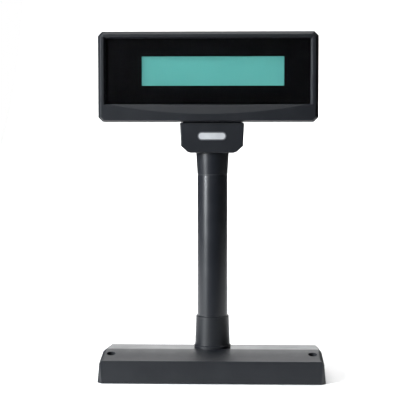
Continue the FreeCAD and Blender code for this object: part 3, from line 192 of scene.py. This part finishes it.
def metal(name, dark, light, roughness, stretch):
    """Bare or plated metal, with a fine grain and uneven polish."""
    look = Look(name, dark, roughness, Metallic=1.0)
    grain = look.noise(scale=400.0, detail=3.0, roughness=0.6, stretch=stretch)
    look.colors(grain, (0.3, dark), (0.7, light))
    look.rough(look.noise(scale=70.0, detail=4.0), roughness - 0.08, roughness + 0.1)
    look.bump(look.noise(scale=800.0, stretch=stretch), PAINT_BUMP, strength=0.4)
    return look.material


def plain(name, dark, light, roughness, **sockets):
    """Rubber, plain plastic or paint: slightly uneven in tone and in height."""
    look = Look(name, dark, roughness, **sockets)
    look.colors(look.noise(scale=90.0, detail=3.0), (0.35, dark), (0.7, light))
    look.bump(look.noise(scale=900.0), PAINT_BUMP, strength=0.4)
    return look.material


def lens_material():
    """Clear acrylic with a light smoke, polished, with a few faint wipe marks."""
    look = Look("lens_clear", (0.86, 0.87, 0.90), 0.03, IOR=1.49, Transmission_Weight=1.0)
    marks = look.noise(scale=14.0, detail=5.0, roughness=0.6, stretch=(1.0, 1.0, 2.5))
    look.rough(marks, 0.015, 0.06, start=0.45, end=0.75)
    return look.material


def lcd_material():
    """A blank backlit cell: teal light that is very slightly uneven."""
    look = Look("lcd_teal", (0.100, 0.390, 0.340), 0.35, Emission_Strength=0.58)
    light = look.colors(look.noise(scale=9.0),
                        (0.3, (0.095, 0.372, 0.322)), (0.7, (0.106, 0.404, 0.352)))
    look.link(light, look.shader, "Emission Color")
    return look.material


def board_material():
    """Green solder resist with a faint pattern of copper under it."""
    look = Look("board_green", (0.015, 0.13, 0.06), 0.35, Coat_Weight=0.4)
    tracks = look.add("ShaderNodeTexBrick", Scale=180.0, Color1=(0.012, 0.12, 0.05, 1),
                      Color2=(0.016, 0.14, 0.065, 1), Mortar=(0.03, 0.22, 0.10, 1))
    tracks.inputs["Mortar Size"].default_value = 0.012
    look.link(look.place, tracks, "Vector")
    look.link(tracks.outputs["Color"], look.shader, "Base Color")
    return look.material


def materials():
    """One finished material for each of the record's slots."""
    made = {
        "case_black": moulded("case_black", (0.0050, 0.0058, 0.0078), (0.0070, 0.0080, 0.0104),
                              roughness=0.40, specular=0.34, grain=1400.0, depth=0.000010),
        "pole_black": moulded("pole_black", (0.0062, 0.0070, 0.0095), (0.0082, 0.0092, 0.0120),
                              roughness=0.30, specular=0.50, grain=1800.0, depth=0.000004),
        "carrier_black": plain("carrier_black", (0.0012, 0.0012, 0.002), (0.0016, 0.0016, 0.0026),
                               roughness=0.50, Specular_IOR_Level=0.1),
        "lens_clear": lens_material(),
        "lcd_teal": lcd_material(),
        "board_green": board_material(),
    }
    for name, values in PLAIN.items():
        made[name] = plain(name, *values)
    for name, values in METALS.items():
        made[name] = metal(name, *values)
    return made


def dress_nodes():
    """Gives each CAD node the material of its slot."""
    made = materials()
    for entry in frame["record"]["subparts"]:
        slots = frame["nodes"][entry["node"]].data.materials
        slots.clear()
        slots.append(made[entry["material_slot"]])


# ---- Studio ---------------------------------------------------------------------------------
def make_camera():
    data = bpy.data.cameras.new("camera")
    data.lens, data.sensor_width = FOCAL, SENSOR
    data.clip_start, data.clip_end = CLIP_START, CLIP_END
    camera = bpy.data.objects.new("camera", data)
    SCENE.collection.objects.link(camera)
    camera.location = CAMERA_PLACE
    camera.rotation_euler = (math.radians(90 - CAMERA_PITCH), 0, math.radians(CAMERA_TURN))
    SCENE.camera = camera


def floor_profile():
    """The floor's side view, as (y, z) points from its front edge to the wall's top."""
    profile = [(FLOOR_FRONT, 0.0)]
    for step in range(SWEEP_STEPS + 1):
        angle = math.radians(90 * step / SWEEP_STEPS)
        profile.append((WALL_Y - SWEEP_RADIUS + SWEEP_RADIUS * math.sin(angle),
                        SWEEP_RADIUS - SWEEP_RADIUS * math.cos(angle)))
    return profile + [(WALL_Y, WALL_TOP)]


def make_floor():
    """A pale floor that curves up into a low wall behind the object."""
    look = Look("studio_floor", (0.93, 0.93, 0.93), 0.85, Specular_IOR_Level=0.15)
    look.colors(look.noise(scale=3.0), (0.3, (0.925, 0.925, 0.925)), (0.7, (0.94, 0.94, 0.94)))
    profile = floor_profile()
    points = [(x, y, z) for y, z in profile for x in (-FLOOR_HALF, FLOOR_HALF)]
    faces = [(2 * i, 2 * i + 1, 2 * i + 3, 2 * i + 2) for i in range(len(profile) - 1)]
    mesh = bpy.data.meshes.new("studio_floor")
    mesh.from_pydata(points, [], faces)
    for face in mesh.polygons:
        face.use_smooth = True
    floor = bpy.data.objects.new("studio_floor", mesh)
    SCENE.collection.objects.link(floor)
    mesh.materials.append(look.material)


def make_lamp(name, place, aim, width, height, watts, color):
    data = bpy.data.lights.new(name, "AREA")
    data.shape, data.size, data.size_y = "RECTANGLE", width, height
    data.energy, data.color = watts, color
    lamp = bpy.data.objects.new(name, data)
    SCENE.collection.objects.link(lamp)
    lamp.location = place
    lamp.rotation_euler = (Vector(aim) - Vector(place)).to_track_quat("-Z", "Y").to_euler()


def make_world():
    """Bright behind the object, dark elsewhere, and white where the camera sees it."""
    world = bpy.data.worlds.new("studio")
    world.use_nodes = True
    SCENE.world = world
    nodes, links = world.node_tree.nodes, world.node_tree.links
    background = nodes["Background"]
    background.inputs["Color"].default_value = (*WHITE, 1.0)
    direction = nodes.new("ShaderNodeTexCoord")
    split = nodes.new("ShaderNodeSeparateXYZ")
    links.new(direction.outputs["Generated"], split.inputs["Vector"])
    glow = nodes.new("ShaderNodeMapRange")
    glow.interpolation_type = "SMOOTHSTEP"
    for socket, value in (("From Min", GLOW_START), ("From Max", GLOW_END),
                          ("To Min", AROUND_GLOW), ("To Max", REAR_GLOW)):
        glow.inputs[socket].default_value = value
    links.new(split.outputs["Y"], glow.inputs["Value"])
    path = nodes.new("ShaderNodeLightPath")
    seen = nodes.new("ShaderNodeMix")
    links.new(path.outputs["Is Camera Ray"], seen.inputs["Factor"])
    links.new(glow.outputs["Result"], seen.inputs["A"])
    seen.inputs["B"].default_value = 1.0
    links.new(seen.outputs["Result"], background.inputs["Strength"])


def main():
    make_camera()
    dress_nodes()
    make_floor()
    make_world()
    for lamp in LAMPS:
        make_lamp(*lamp)
    SCENE.view_settings.view_transform = "Standard"


main()
